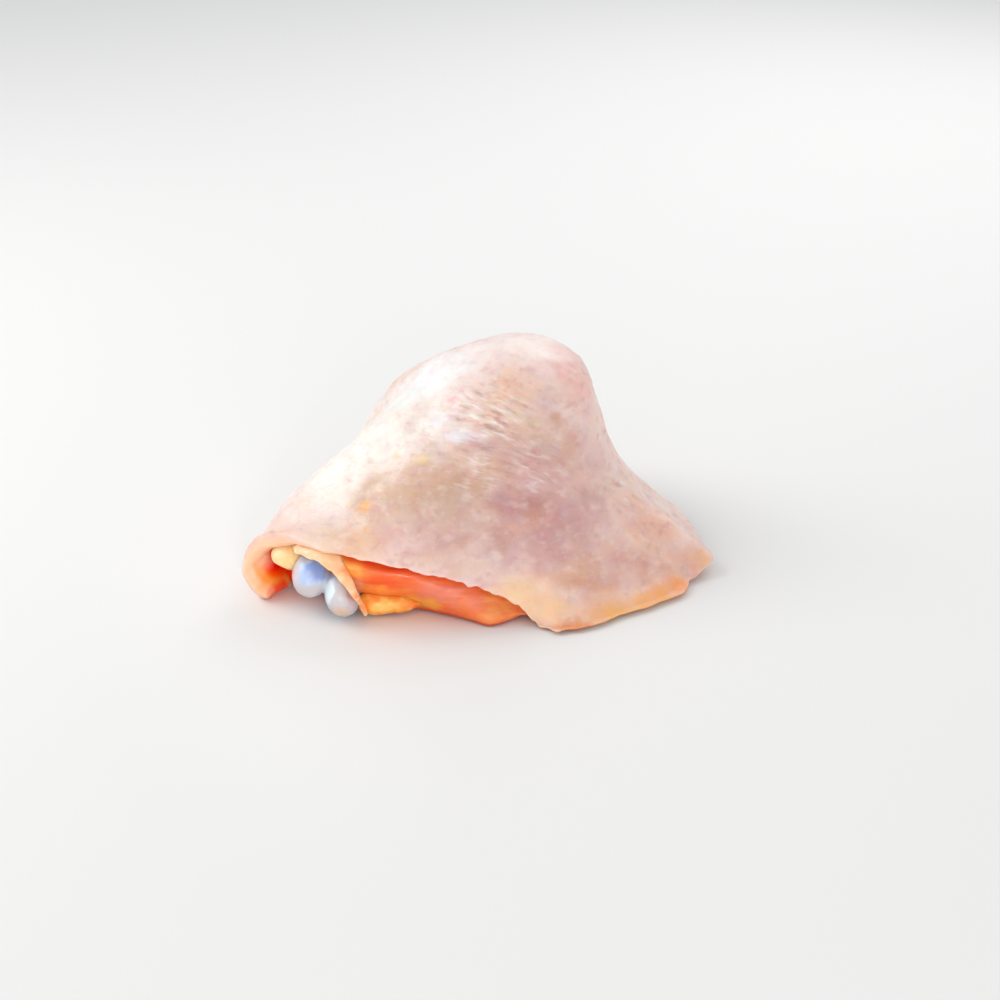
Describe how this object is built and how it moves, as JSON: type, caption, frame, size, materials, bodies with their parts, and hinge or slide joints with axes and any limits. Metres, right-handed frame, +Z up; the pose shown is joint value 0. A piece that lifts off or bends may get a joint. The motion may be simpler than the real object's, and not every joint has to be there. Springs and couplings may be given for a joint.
{
  "type": "raw chicken thigh",
  "caption": "Raw chicken thigh on the bone, skin side up: draped skin, cut muscle, rounded knee end of the bone and soft fat at the cut corner.",
  "frame": {"origin": "on the surface it rests on, under the middle of the whole thigh", "axes": "+X along the cut side from the knee end to the flat tip of the skin, +Y away from the cut side, +Z up"},
  "size_m": [0.119, 0.0962, 0.0535],
  "materials": {
    "skin": "moist, softly shiny raw skin",
    "meat": "moist raw muscle",
    "bone": "wet, glossy cartilage",
    "capsule": "moist pale sinew",
    "pale_fat": "soft moist fat",
    "yellow_fat": "soft moist fat"
  },
  "bodies": {
    "root": {"skin": "skin", "meat": "meat", "femur": "bone", "joint_capsule": "capsule", "knee_fat": "pale_fat", "front_fat": "yellow_fat"}
  },
  "joints": []
}
